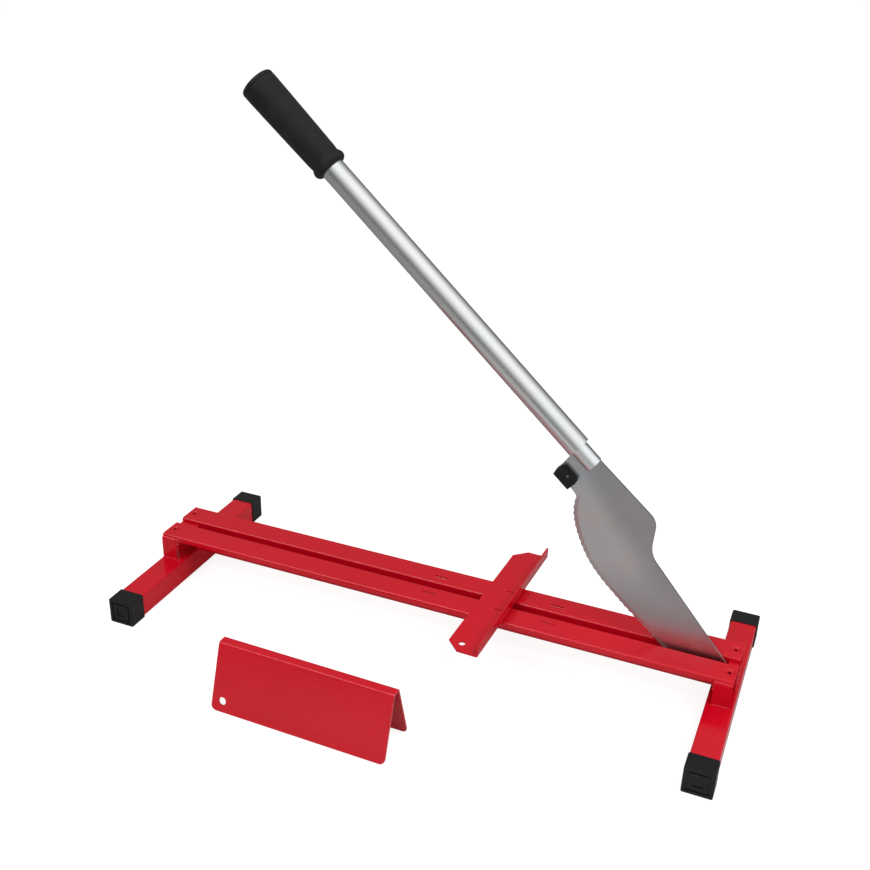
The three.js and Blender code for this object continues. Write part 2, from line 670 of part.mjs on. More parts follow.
// The serrated edge: scallops on the outer line, and the smooth line where the ground bevel starts
function cuttingEdge() {
  const curve = new THREE.CatmullRomCurve3(
    EDGE_SHARES.map(bladePoint).map(([x, z]) => new THREE.Vector3(x, z, 0)), false, 'centripetal');
  const teeth = Math.round(curve.getLength() / TOOTH_PITCH);
  const count = teeth * TOOTH_STEPS;
  const stations = Array.from({ length: count + 1 }, (_, index) => index);
  return stations.map((index) => {
    const point = curve.getPointAt(index / count);
    const tangent = curve.getTangentAt(index / count);
    const inward = (amount) => [point.x - tangent.y * amount, point.y + tangent.x * amount];
    const bite = TOOTH_DEPTH * Math.sin(Math.PI * (index % TOOTH_STEPS) / TOOTH_STEPS);
    const isEnd = index === 0 || index === count;
    return { tip: inward(bite), shoulder: inward(isEnd ? 0 : BEVEL_WIDTH) };
  });
}

function lugArc() {
  return Array.from({ length: LUG_STEPS + 1 }, (_, step) => {
    const degrees = THREE.MathUtils.lerp(LUG_START_DEGREES, LUG_END_DEGREES, step / LUG_STEPS);
    const angle = THREE.MathUtils.degToRad(degrees);
    return [PIVOT_X + LUG_RADIUS * Math.cos(angle), PIVOT_Z + LUG_RADIUS * Math.sin(angle)];
  });
}

// Heel, waist and shoulder, up to the stub's mouth
function spine() {
  const corners = [
    [PIVOT_X + LUG_RADIUS, PIVOT_Z],
    [PIVOT_X + HEEL_OUT, PIVOT_Z + HEEL_UP],
    bladePoint(WAIST_SHARES),
    bladePoint(SHOULDER_SHARES),
    leverPoint(-STUB_OUT - SEAT_GAP, -TANG_HALF),
  ];
  return roundedLine(corners, [HEEL_ROUND, WAIST_ROUND, SHOULDER_ROUND])
    .slice(1).map(({ point }) => [point.x, point.y]);
}

// The tang inside the stub, then the shoulder and the tab that carries the stop block
function tangAndTab() {
  return [
    leverPoint(TANG_LENGTH, -TANG_HALF),
    leverPoint(TANG_LENGTH, TANG_HALF),
    leverPoint(-SHOULDER_DROP, TANG_HALF),
    leverPoint(-SHOULDER_SLOPE_DROP, STOP_OFFSET),
    leverPoint(-STOP_DROP - SEAT_GAP, BLADE_TAB_ACROSS - SEAT_GAP),
    leverPoint(-STOP_DROP - STOP_CORNER, BLADE_TAB_ACROSS),
    leverPoint(STOP_FOOT - SEAT_GAP, BLADE_TAB_ACROSS),
    leverPoint(STOP_FOOT - SEAT_GAP - STOP_CORNER, BLADE_TAB_ACROSS + TAB_SLOPE - STOP_CORNER),
  ];
}

// Four stacked loops: face, edge, edge, face. The ground bevel lies between face and edge.
function bladeBlank() {
  const edge = cuttingEdge();
  const plain = [...lugArc(), ...spine(), ...tangAndTab()];
  const faceLoop = [...edge.map(({ shoulder }) => shoulder), ...plain];
  const edgeLoop = [...edge.map(({ tip }) => tip), ...plain];
  const layers = [
    [faceLoop, -BLADE_THICKNESS / 2], [edgeLoop, -EDGE_THICKNESS / 2],
    [edgeLoop, EDGE_THICKNESS / 2], [faceLoop, BLADE_THICKNESS / 2],
  ];
  const positions = layers.flatMap(([loop, y]) => loop.flatMap(([x, z]) => [x, y, z]));
  const count = faceLoop.length;
  const indices = [];
  for (let low = 0; low < count * (layers.length - 1); low += count) {
    for (let index = 0; index < count; index += 1) {
      const here = low + index;
      const next = low + (index + 1) % count;
      indices.push(here, here + count, next, next, here + count, next + count);
    }
  }
  const top = count * (layers.length - 1);
  const face = faceLoop.map(([x, z]) => new THREE.Vector2(x, z));
  for (const [a, b, c] of THREE.ShapeUtils.triangulateShape(face, [])) {
    indices.push(a, b, c, top + a, top + c, top + b);
  }
  const geometry = new THREE.BufferGeometry();
  geometry.setAttribute('position', new THREE.Float32BufferAttribute(positions, 3));
  geometry.setIndex(indices);
  return toSolid(geometry);
}

function tangPinStation(share) {
  return TANG_LENGTH * share;
}

function tangPinHoles(halfLength) {
  return Object.values(TANG_PIN_SHARES).map((share) =>
    crossBar(tangPinStation(share), 0, TANG_PIN_RADIUS + SEAT_GAP, halfLength));
}

function blade() {
  return cutAll(bladeBlank(), [
    barAlongY(PIVOT_X, PIVOT_Z, PIVOT_RADIUS + RUNNING_GAP, [-BLADE_THICKNESS, BLADE_THICKNESS]),
    crossBar(STOP_PIN_STATION, STOP_PIN_ACROSS, STOP_PIN_HOLE, BLADE_THICKNESS),
    ...tangPinHoles(BLADE_THICKNESS),
  ]);
}

// Lever: a stub forked over the blade's tang, and the tube that slides over the stub
function leverStub() {
  const body = turned([[0, -STUB_OUT], [STUB_RADIUS, -STUB_OUT], [STUB_RADIUS, STUB_IN], [0, STUB_IN]]);
  const reach = STUB_RADIUS + CUT_OVERRUN;
  const slot = box([-reach, reach], [-STUB_SLOT / 2, STUB_SLOT / 2],
    [-STUB_OUT - CUT_OVERRUN, STUB_IN - STUB_SOLID]);
  return cutAll(onLever(body.subtract(slot)), tangPinHoles(reach));
}

function tangPin(share) {
  return crossBar(tangPinStation(share), 0, TANG_PIN_RADIUS, STUB_RADIUS - TANG_PIN_END_GAP);
}

function leverTube() {
  return onLever(turned([
    [TUBE_BORE, 0], [TUBE_RADIUS, 0], [TUBE_RADIUS, TUBE_LENGTH], [TUBE_BORE, TUBE_LENGTH], [TUBE_BORE, 0],
  ]));
}

function grip() {
  const outside = GRIP_PROFILE_SHARES.map(([lengthShare, radiusShare]) =>
    [GRIP_RADIUS * radiusShare, GRIP_START + GRIP_LENGTH * lengthShare]);
  const boreEnd = TUBE_LENGTH + SEAT_GAP;
  return onLever(turned([
    [GRIP_BORE, GRIP_START], ...outside, [0, GRIP_END],
    [0, boreEnd], [GRIP_BORE, boreEnd], [GRIP_BORE, GRIP_START],
  ]));
}

// The block is slotted over the blade's tab and pinned through it
function stopBlock() {
  const outline = roundedRectangle([STOP_FOOT, -STOP_DROP], [STOP_OFFSET, STOP_TOP_ACROSS],
    [STOP_ROUND, STOP_ROUND, STOP_CORNER, STOP_CORNER]);
  const from = STOP_FOOT - CUT_OVERRUN;
  const to = -STOP_DROP + CUT_OVERRUN;
  const mouth = STOP_OFFSET - CUT_OVERRUN;
  const bottom = STOP_TOP_ACROSS - STOP_WALL;
  const slot = leverPlate([[from, mouth], [to, mouth], [to, bottom], [from, bottom]], STOP_SLOT / 2);
  const hole = crossBar(STOP_PIN_STATION, STOP_PIN_ACROSS, STOP_PIN_HOLE, STOP_WIDTH / 2 + CUT_OVERRUN);
  return cutAll(leverPlate(outline, STOP_WIDTH / 2), [slot, hole]);
}

function stopPin() {
  const face = STOP_WIDTH / 2 + SEAT_GAP;
  const shank = crossBar(STOP_PIN_STATION, STOP_PIN_ACROSS, STOP_PIN_RADIUS, face + STOP_PIN_HEAD / 2);
  const [x, z] = leverPoint(STOP_PIN_STATION, STOP_PIN_ACROSS);
  const heads = Object.values(SIDES).map((side) =>
    barAlongY(x, z, STOP_PIN_HEAD_RADIUS, span(side * face, side * (face + STOP_PIN_HEAD)), SMALL_SEGMENTS));
  return join([shank, ...heads]);
}

// Folded support: each panel has its own frame, along the fold, up the slope and outwards
function panelMatrix(side) {
  const along = new THREE.Vector3(1, 0, 0);
  const slope = new THREE.Vector3(0, -side * SUPPORT_RUN, SUPPORT_HEIGHT).normalize();
  const outward = new THREE.Vector3().crossVectors(along, slope);
  const matrix = new THREE.Matrix4().makeBasis(along, slope, outward);
  matrix.setPosition(0, side * (SUPPORT_TOP / 2 + SUPPORT_RUN), 0);
  return matrix;
}

// Cuts a square lower corner of a panel round
function panelCorner(end, side) {
  const edge = end * SUPPORT_LENGTH / 2;
  const outer = edge + end * CUT_OVERRUN;
  const below = -SUPPORT_SHEET * 2;
  const arc = Array.from({ length: ARC_STEPS + 1 }, (_, step) => {
    const angle = QUARTER_TURN * step / ARC_STEPS;
    return [edge - end * SUPPORT_CORNER * (1 - Math.sin(angle)), SUPPORT_CORNER * (1 - Math.cos(angle))];
  });
  const outline = [...arc, [outer, SUPPORT_CORNER], [outer, below], [edge - end * SUPPORT_CORNER, below]];
  return placed(runAlongZ(outline, [below, -below]), panelMatrix(side));
}

function panelSupport() {
  const skin = SUPPORT_SHEET / 2;
  const corners = [
    [SUPPORT_TOP / 2 + SUPPORT_RUN, 0],
    [SUPPORT_TOP / 2, SUPPORT_HEIGHT - skin],
    [-SUPPORT_TOP / 2, SUPPORT_HEIGHT - skin],
    [-SUPPORT_TOP / 2 - SUPPORT_RUN, 0],
  ];
  const sheet = runAlongX(bentSheet(corners, SUPPORT_SHEET, SUPPORT_BEND),
    [-SUPPORT_LENGTH / 2, SUPPORT_LENGTH / 2]);
  const reach = SUPPORT_SHEET * 2;
  const hole = placed(barAlongZ(SUPPORT_HOLE_IN - SUPPORT_LENGTH / 2, SUPPORT_HOLE_UP, SUPPORT_HOLE_RADIUS,
    [-reach, reach]), panelMatrix(FRONT));
  const rounding = Object.values(ENDS).flatMap((end) =>
    Object.values(SIDES).map((side) => panelCorner(end, side)));
  const finished = cutAll(sheet, [hole, ...rounding]);
  const matrix = new THREE.Matrix4().makeTranslation(SUPPORT_X, SUPPORT_Y, -finished.boundingBox().min[2])
    .multiply(new THREE.Matrix4().makeRotationZ(THREE.MathUtils.degToRad(SUPPORT_TURN_DEGREES)));
  return placed(finished, matrix);
}

// Assembly: what repeats at both ends and both sides
for (const [endName, end] of Object.entries(ENDS)) {
  addNode(`${endName}_foot_tube`, 'redPaint', footTube(end));
  for (const [sideName, side] of Object.entries(SIDES)) {
    const corner = `${sideName}_${endName}`;
    addNode(`${corner}_cap`, 'blackPlastic', footCap(end, side));
    addNode(`${corner}_saddle`, 'redPaint', saddle(end, side));
    addNode(`${corner}_rail_screw`, 'redPaint', railScrew(end, side));
    addNode(`${corner}_rail_nut`, 'zincSteel', railNut(end, side));
  }
}
for (const [sideName, side] of Object.entries(SIDES)) {
  addNode(`${sideName}_rail`, 'redPaint', rail(side));
  addNode(`${sideName}_pivot_washer`, 'darkSteel', pivotWasher(side));
}
for (const [place, share] of Object.entries(TANG_PIN_SHARES)) {
  addNode(`${place}_tang_pin`, 'darkSteel', tangPin(share));
}

// Assembly: single pieces
addNode('left_spacer', 'redPaint', spacer(LEFT, LEFT_SPACER_LENGTH));
addNode('right_spacer', 'redPaint', spacer(RIGHT, RIGHT_SPACER_LENGTH));
addNode('pivot_bolt', 'zincSteel', pivotBolt());
addNode('pivot_nut', 'zincSteel', pivotNut());
addNode('fence', 'redPaint', fence());
addNode('blade', 'bladeSteel', blade());
addNode('lever_stub', 'zincSteel', leverStub());
addNode('lever_tube', 'zincSteel', leverTube());
addNode('grip', 'blackPlastic', grip());
addNode('stop_block', 'blackRubber', stopBlock());
addNode('stop_pin', 'zincSteel', stopPin());
addNode('panel_support', 'redPaint', panelSupport());

// The bottom centre of the whole object goes to the origin
const bounds = new THREE.Box3().setFromObject(group);
const centre = bounds.getCenter(new THREE.Vector3());
for (const mesh of group.children) {
  mesh.geometry.translate(-centre.x, -centre.y, -bounds.min.z);
}

export default group;
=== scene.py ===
import json
import math

import bmesh
import bpy
from mathutils import Matrix, Vector


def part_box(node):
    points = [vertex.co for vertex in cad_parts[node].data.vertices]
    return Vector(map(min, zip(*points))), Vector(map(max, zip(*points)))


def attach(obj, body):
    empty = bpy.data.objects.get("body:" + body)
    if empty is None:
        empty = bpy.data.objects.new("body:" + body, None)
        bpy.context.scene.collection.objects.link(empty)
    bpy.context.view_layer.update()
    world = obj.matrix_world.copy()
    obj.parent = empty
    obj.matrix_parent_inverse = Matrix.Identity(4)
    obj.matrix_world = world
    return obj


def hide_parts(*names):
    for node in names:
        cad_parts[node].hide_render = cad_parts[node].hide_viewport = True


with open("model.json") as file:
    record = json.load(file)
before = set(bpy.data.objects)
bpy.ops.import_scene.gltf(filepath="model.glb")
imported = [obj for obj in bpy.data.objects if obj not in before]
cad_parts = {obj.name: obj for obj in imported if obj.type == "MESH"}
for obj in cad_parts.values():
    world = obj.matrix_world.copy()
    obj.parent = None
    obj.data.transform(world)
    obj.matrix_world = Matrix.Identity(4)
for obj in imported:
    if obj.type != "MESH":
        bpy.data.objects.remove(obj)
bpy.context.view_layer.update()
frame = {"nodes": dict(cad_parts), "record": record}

NODES = frame["nodes"]

# Metres in a millimetre
MM = 0.001

# How the record names what lies on each side of the slot and at each end of the bed
SIDES = ("front", "back")
ENDS = ("left", "right")

# Camera, solved from the photograph's straight edges: place in metres, angles in degrees
CAMERA_PLACE = (0.4054, -0.9746, 0.7827)
CAMERA_AZIMUTH = -22.02
CAMERA_ELEVATION = 25.62
CAMERA_ROLL = 1.74
CAMERA_FOCAL_PIXELS = 1113.7
IMAGE_PIXELS = 870
SENSOR_WIDTH = 36.0
CLIP_START = 0.01
CLIP_END = 60.0

# Lamps, which give the diffuse light only, and the place that they look at
LAMPS = {
    "key": {"place": (1.15, -0.45, 1.75), "size": (1.3, 1.0), "power": 21.0},
    "left": {"place": (-1.2, -1.7, 2.2), "size": (1.8, 1.4), "power": 25.0},
    "back": {"place": (0.3, 1.7, 1.8), "size": (1.8, 0.9), "power": 7.0},
}
LAMPS_AIM = (0.05, 0.0, 0.18)

# The room that glossy surfaces mirror brightens upwards and has a large soft box and a small one.
# A box's span is where its glow starts and is full, as cosines of the angle from its direction.
WORLD_DIFFUSE = 0.52
ROOM_HEIGHTS = (0.0, 0.9)
ROOM_TONES = (0.18, 0.40)
BOX_DIRECTION = (0.60, -0.35, 0.72)
BOX_SPAN = (-0.05, 0.95)
BOX_FALLOFF = 2.3
BOX_GLOW = 1.15
SMALL_BOX_DIRECTION = (-0.35, -0.46, 0.78)
SMALL_BOX_SPAN = (0.955, 0.985)
SMALL_BOX_GLOW = 3.4

# Directions of the lever, which its drawn lines follow, and of the blade's ground lines, in
# degrees from the bed's direction
LEVER_DEGREES = 137.76
BLADE_GRAIN_DEGREES = 122.0

# Edge rounds on the CAD nodes by slot, in millimetres, and the angle in degrees that makes an edge
EDGE_ROUNDS = {
    "red_paint": 0.35,
    "black_plastic": 0.5,
    "black_rubber": 0.5,
    "bright_tube": 0.25,
    "zinc_steel": 0.25,
    "dark_steel": 0.25,
    "blade_steel": 0.16,
}
EDGE_SEGMENTS = 2
EDGE_ANGLE = 38.0

# Weld beads, in millimetres: plain ones along the saddles' feet, short upright ones beside the
# rails' lips, and upright ones on the slot flanges at the bed's ends
WELD_RADIUS = 1.1
WELD_RIPPLE = 0.16
WELD_PITCH = 1.9
WELD_STEPS = 8
WELD_SIDES = 10
WELD_TIP = 0.45
WELD_TAPER = 6.0
LIP_WELD_RADIUS = 1.7
LIP_WELD_TOP = 3.2
LIP_WELD_LENGTH = 11.0
END_WELD_RADIUS = 1.7
END_WELD_TOP = 7.0
END_WELD_FOOT = 3.0
FLANGE_HALF = 1.0

# Dark discs on the bottoms of the screws' sockets, painted shade for their recesses, in
# millimetres
SOCKET_DEPTH = 1.9
SHADE_DISC_RADIUS = 2.2
SHADE_DISC_HEIGHT = 0.4
SHADE_DISC_SIDES = 6

# Small round mark on the blade, in millimetres: place along X and Z, radius and rise
MARK_PLACE = (298.0, 74.1)
MARK_RADIUS = 1.2
MARK_RISE = 0.22
MARK_SEGMENTS = (24, 12)

# Groove round the grip, in millimetres: distance from the closed end, half width and depth. Its
# painted shade is full over a share of the half width.
GROOVE_INSET = 5.0
GROOVE_HALF = 0.7
GROOVE_DEPTH = 0.6
GROOVE_SHADE_CORE = 0.3
# How it is cut: two tolerances in metres, and the share of the radius beyond which a point lies on
# the grip's skin
GROOVE_CUT_WIDTH = 1e-7
GROOVE_TOLERANCE = 1e-6
GRIP_SKIN_SHARE = 0.9

# Materials. Colours are linear red, green and blue. A noise is its scale, detail and roughness. A
# span is the pair of values between which a detail fades in, and a share is how strongly it shows
# at the end. A roughness is its lowest and highest value. Bump depths are in metres.
NOISE_SPAN = (0.3, 0.7)
DRAWN_STRETCH = (0.02, 1.0, 1.0)

PAINT_DEEP = (0.50, 0.0012, 0.0100)
PAINT_BRIGHT = (0.60, 0.0022, 0.0145)
PAINT_CLOUD = (9.0, 4.0, 0.55)
PAINT_GRAIN = (420.0, 2.0, 0.5)
PAINT_GRAIN_SPAN = (0.35, 0.7)
PAINT_GRAIN_SHARE = 0.35
PAINT_GRAIN_COLOUR = (0.44, 0.001, 0.008)
PAINT_SCRATCH = (60.0, 5.0, 0.7)
PAINT_SCRATCH_STRETCH = (0.4, 9.0, 2.0)
PAINT_SCRATCH_SPAN = (0.70, 0.74)
PAINT_SCRATCH_SHARE = 0.10
PAINT_SCRATCH_COLOUR = (0.62, 0.05, 0.06)
PAINT_PEEL = (300.0, 2.0, 0.4)
PAINT_PEEL_DEPTH = 0.000022
PAINT_SPECK_SCALE = 260.0
PAINT_SPECK_SPAN = (0.05, 0.09)
PAINT_SPECK_DEPTH = 0.000012
PAINT_ROUGHNESS = (0.11, 0.18)
PAINT_IOR = 1.42

CAP_PLASTIC = {
    "deep": (0.0035, 0.0034, 0.0036),
    "pale": (0.0065, 0.0063, 0.0066),
    "roughness": (0.36, 0.48),
    "grain": (900.0, 2.0, 0.6),
    "grain_depth": 0.00004,
}
STOP_RUBBER = {
    "deep": (0.0035, 0.0035, 0.0036),
    "pale": (0.0065, 0.0065, 0.0066),
    "roughness": (0.6, 0.7),
    "grain": (700.0, 2.0, 0.6),
    "grain_depth": 0.00005,
}
PLASTIC_CLOUD = (30.0, 4.0, 0.6)
PLASTIC_CLOUD_SPAN = (0.3, 0.75)
PLASTIC_DUST_SPAN = (0.62, 0.8)
PLASTIC_DUST_SHARE = 0.2
PLASTIC_DUST_COLOUR = (0.03, 0.03, 0.031)
PLASTIC_IOR = 1.37

GRIP_DEEP = (0.0085, 0.0085, 0.0095)
GRIP_PALE = (0.0150, 0.0150, 0.0165)
GRIP_CLOUD = (42.0, 4.0, 0.65)
GRIP_GRAIN = (1100.0, 2.0, 0.6)
GRIP_GRAIN_DEPTH = 0.00005
GRIP_DUST_SPAN = (0.60, 0.8)
GRIP_DUST_SHARE = 0.3
GRIP_DUST_COLOUR = (0.030, 0.030, 0.033)
# Painted shade in the grip's groove: how strongly it shows and its colour
GRIP_GROOVE_SHADE_SHARE = 0.75
GRIP_GROOVE_PAINTED_SHADE = (0.002, 0.002, 0.002)
GRIP_ROUGHNESS = (0.5, 0.62)
GRIP_IOR = 1.26

LEVER_TUBE = {"cool": (0.58, 0.61, 0.615), "warm": (0.66, 0.655, 0.64), "extra_roughness": 0.02}
LEVER_STUB = {"cool": (0.66, 0.70, 0.70), "warm": (0.72, 0.76, 0.76), "extra_roughness": 0.14}
TUBE_CLOUD = (14.0, 4.0, 0.6)
TUBE_ROUGHNESS = (0.20, 0.26)
TUBE_DRAWN = (700.0, 3.0, 0.6)
TUBE_DRAWN_SPAN = (0.45, 0.75)
TUBE_DRAWN_SHARE = 0.22
TUBE_DRAWN_SHADE = 0.8
TUBE_DRAWN_ROUGHNESS = 0.06
TUBE_DRAWN_DEPTH = 0.000006

ZINC = {"dark": (0.52, 0.53, 0.54), "pale": (0.66, 0.66, 0.65), "roughness": (0.28, 0.38)}
BLACKENED = {"dark": (0.05, 0.05, 0.052), "pale": (0.09, 0.088, 0.086), "roughness": (0.38, 0.5)}
PIVOT_STEEL = {"dark": (0.06, 0.06, 0.062), "pale": (0.12, 0.12, 0.12), "roughness": (0.4, 0.55)}
PIN_STEEL = {"dark": (0.16, 0.16, 0.165), "pale": (0.26, 0.26, 0.26), "roughness": (0.42, 0.55)}
PLATED_CLOUD = (160.0, 4.0, 0.6)
PLATED_FINE = (1400.0, 2.0, 0.6)
PLATED_FINE_DEPTH = 0.000015

# The blade is paler beside its cutting edge. The border of that band is given in metres along the
# direction away from the edge, and so is how far the border wanders.
BLADE_INLAND = (0.788, 0.0, 0.616)
BLADE_BORDER = (0.264, 0.296)
BLADE_BORDER_WANDER = 0.006
BLADE_PALE = (0.485, 0.467, 0.465)
BLADE_DARK = (0.335, 0.325, 0.332)
# Its other tones change between two heights in metres: the cooler top, the even lower part and
# the paler foot, a painted reflection of the lit rail tops beside it
BLADE_TOP_HEIGHTS = (0.205, 0.25)
BLADE_TOP_PALE = (0.450, 0.472, 0.482)
BLADE_TOP_DARK = (0.348, 0.350, 0.360)
BLADE_EVEN_HEIGHTS = (0.108, 0.150)
BLADE_EVEN = (0.395, 0.382, 0.388)
BLADE_PAINTED_SHEEN_HEIGHTS = (0.072, 0.094)
BLADE_PAINTED_SHEEN_SHARE = 0.9
BLADE_PAINTED_SHEEN = (0.58, 0.55, 0.57)
# The bevel is where a face looks sideways less squarely than a flat side and more than a thin edge
BLADE_SIDE_FACING = (0.90, 0.995)
BLADE_EDGE_FACING = (0.3, 0.6)
# Painted light: the bevel's colour is tinted cyan to cancel the red light that the rails bounce
# onto it
BLADE_BEVEL = (0.42, 0.50, 0.505)
BLADE_BEVEL_METALLIC = 0.1
BLADE_HUE = (16.0, 3.0, 0.6)
BLADE_HUE_SPAN = (0.35, 0.65)
BLADE_HUE_COOL = (0.955, 0.985, 1.0)
BLADE_HUE_WARM = (1.0, 0.955, 0.955)
BLADE_STAIN = (38.0, 5.0, 0.7)
BLADE_STAIN_SPAN = (0.62, 0.78)
BLADE_STAIN_SHARE = 0.12
BLADE_STAIN_COLOUR = (0.30, 0.29, 0.30)
BLADE_GROUND = (1500.0, 3.0, 0.65)
BLADE_GROUND_SPAN = (0.4, 0.75)
BLADE_GROUND_SHARE = 0.12
BLADE_GROUND_COLOUR = (0.32, 0.31, 0.315)
BLADE_GROUND_ROUGHNESS = 0.05
BLADE_GROUND_DEPTH = 0.000004
BLADE_CLOUD = (9.0, 5.0, 0.55)
BLADE_ROUGHNESS = (0.30, 0.37)

# Floor: white to the camera with a faint shadow, and grey where it is mirrored, with a painted
# pool
# of light there: paler near one place and darker away from it
FLOOR_RADIUS = 14.0
FLOOR_CORNERS = 96
FLOOR_DROP = 0.0004
FLOOR_SEEN = 0.36
FLOOR_GLOW = 0.82
FLOOR_CLOUD = (3.0, 3.0, 0.5)
FLOOR_TONES = (0.80, 0.788)
FLOOR_POOL_OF_LIGHT_PLACE = (0.12, -0.42, 0.0)
FLOOR_POOL_OF_LIGHT_SPAN = (0.25, 0.65)
FLOOR_MIRRORED_POOL_OF_LIGHT = (0.64, 0.34)

WHITE = (1.0, 1.0, 1.0)


def add_object(name, data):
    thing = bpy.data.objects.new(name, data)
    bpy.context.scene.collection.objects.link(thing)
    return thing


def new_mesh(name, shape):
    mesh = bpy.data.meshes.new(name)
    shape.to_mesh(mesh)
    shape.free()
    return mesh


def make_camera():
    azimuth = math.radians(CAMERA_AZIMUTH)
    elevation = math.radians(CAMERA_ELEVATION)
    roll = math.radians(CAMERA_ROLL)
    forward = Vector((
        math.sin(azimuth) * math.cos(elevation),
        math.cos(azimuth) * math.cos(elevation),
        -math.sin(elevation),
    ))
    level_right = forward.cross(Vector((0, 0, 1))).normalized()
    level_up = level_right.cross(forward)
    right = level_right * math.cos(roll) + level_up * math.sin(roll)
    up = level_up * math.cos(roll) - level_right * math.sin(roll)
    data = bpy.data.cameras.new("camera")
    data.sensor_width = SENSOR_WIDTH
    data.lens = CAMERA_FOCAL_PIXELS / IMAGE_PIXELS * SENSOR_WIDTH
    data.clip_start = CLIP_START
    data.clip_end = CLIP_END
    camera = add_object("camera", data)
    turn = Matrix((right, up, -forward)).transposed().to_4x4()
    camera.matrix_world = Matrix.Translation(CAMERA_PLACE) @ turn
    bpy.context.scene.camera = camera


def area_lamp(name, place, size, power):
    data = bpy.data.lights.new(name, "AREA")
    data.energy = power
    data.shape = "RECTANGLE"
    data.size, data.size_y = size
    lamp = add_object(name, data)
    lamp.location = place
    aim = Vector(LAMPS_AIM) - Vector(place)
    lamp.rotation_euler = aim.to_track_quat("-Z", "Y").to_euler()
    lamp.visible_glossy = False


class Nodes:
    """Builds a node tree with short calls. Each call gives the output of the node that it adds."""

    def __init__(self, tree):
        self.tree = tree
        tree.nodes.clear()

    def add(self, kind, inputs=None, **settings):
        """Adds any node, and gives the node itself."""
        node = self.tree.nodes.new(kind)
        for key, value in settings.items():
            setattr(node, key, value)
        for key, value in (inputs or {}).items():
            self.put(node.inputs[key], value)
        return node

    def put(self, socket, value):
        if isinstance(value, bpy.types.NodeSocket):
            self.tree.links.new(value, socket)
        elif socket.type == "RGBA" and len(value) == 3:
            socket.default_value = (*value, 1)
        else:
            socket.default_value = value

    def spot(self):
        return self.add("ShaderNodeTexCoord").outputs["Object"]

    def place(self, scale=(1, 1, 1), turn=(0, 0, 0)):
        """The spot on the object, turned first and stretched after."""
        turned = self.add("ShaderNodeMapping", {"Vector": self.spot(), "Rotation": turn})
        stretched = {"Vector": turned.outputs["Vector"], "Scale": scale}
        return self.add("ShaderNodeMapping", stretched).outputs["Vector"]

    def part(self, vector, axis):
        return self.add("ShaderNodeSeparateXYZ", {"Vector": vector}).outputs[axis]

    def noise(self, scale, detail, rough, place=None):
        return self.add("ShaderNodeTexNoise", {
            "Vector": place or self.place(), "Scale": scale, "Detail": detail, "Roughness": rough,
        }).outputs["Fac"]

    def dots(self, scale):
        spots = {"Vector": self.place(), "Scale": scale}
        return self.add("ShaderNodeTexVoronoi", spots).outputs["Distance"]

    def steps(self, value, low, high, to_low=0.0, to_high=1.0, kind="LINEAR"):
        return self.add("ShaderNodeMapRange", {
            "Value": value, "From Min": low, "From Max": high, "To Min": to_low, "To Max": to_high,
        }, interpolation_type=kind).outputs["Result"]

    def spread(self, noise, to_low, to_high):
        """A noise brought to the range from to_low to to_high."""
        return self.steps(noise, *NOISE_SPAN, to_low, to_high)

    def mix(self, share, first, second, blend="MIX"):
        node = self.add("ShaderNodeMix", data_type="RGBA", blend_type=blend)
        self.put(node.inputs["Factor"], share)
        colours = [socket for socket in node.inputs if socket.type == "RGBA"]
        self.put(colours[0], first)
        self.put(colours[1], second)
        return [socket for socket in node.outputs if socket.type == "RGBA"][0]

    def calc(self, operation, first, second=0.0):
        return self.add("ShaderNodeMath", {0: first, 1: second}, operation=operation).outputs[0]

    def measure(self, operation, first, second):
        """A number from two vectors, such as their dot product or distance."""
        node = self.add("ShaderNodeVectorMath", {0: first, 1: second}, operation=operation)
        return node.outputs["Value"]

    def bump(self, height, depth, under=None):
        inputs = {"Height": height, "Distance": depth, "Strength": 1.0}
        if under:
            inputs["Normal"] = under
        return self.add("ShaderNodeBump", inputs).outputs["Normal"]


def new_material(name):
    material = bpy.data.materials.new(name)
    material.use_nodes = True
    return material, Nodes(material.node_tree)


def finish_material(nodes, inputs):
    shader = nodes.add("ShaderNodeBsdfPrincipled", inputs)
    nodes.add("ShaderNodeOutputMaterial", {"Surface": shader.outputs["BSDF"]})


def lever_direction():
    """From the lever's pivot to the grip's closed end."""
    angle = math.radians(LEVER_DEGREES)
    return Vector((math.cos(angle), 0.0, math.sin(angle)))


def groove_station():
    """How far along the lever the middle of the grip's groove lies."""
    along = lever_direction()
    closed_end = max(vertex.co.dot(along) for vertex in NODES["grip"].data.vertices)
    return closed_end - GROOVE_INSET * MM


def lines_along(nodes, noise, degrees):
    """A noise drawn out into fine lines that run at an angle from the bed's direction."""
    return nodes.noise(*noise, nodes.place(DRAWN_STRETCH, (0, math.radians(degrees), 0)))


def red_paint():
    """Glossy powder coat with soft clouds, fine grain, orange peel, specks and faint scratches."""
    material, nodes = new_material("red_paint")
    cloud = nodes.noise(*PAINT_CLOUD)
    grain = nodes.steps(nodes.noise(*PAINT_GRAIN), *PAINT_GRAIN_SPAN, 0.0, PAINT_GRAIN_SHARE)
    streaks = nodes.noise(*PAINT_SCRATCH, nodes.place(PAINT_SCRATCH_STRETCH))
    scratch = nodes.steps(streaks, *PAINT_SCRATCH_SPAN)
    base = nodes.mix(cloud, PAINT_DEEP, PAINT_BRIGHT)
    fine = nodes.mix(grain, base, PAINT_GRAIN_COLOUR)
    share = nodes.calc("MULTIPLY", scratch, PAINT_SCRATCH_SHARE)
    peel = nodes.bump(nodes.noise(*PAINT_PEEL), PAINT_PEEL_DEPTH)
    speck = nodes.steps(nodes.dots(PAINT_SPECK_SCALE), *PAINT_SPECK_SPAN, 1.0, 0.0)
    finish_material(nodes, {
        "Base Color": nodes.mix(share, fine, PAINT_SCRATCH_COLOUR),
        "Roughness": nodes.spread(cloud, *PAINT_ROUGHNESS),
        "Normal": nodes.bump(speck, PAINT_SPECK_DEPTH, peel),
        "IOR": PAINT_IOR,
    })
    return material


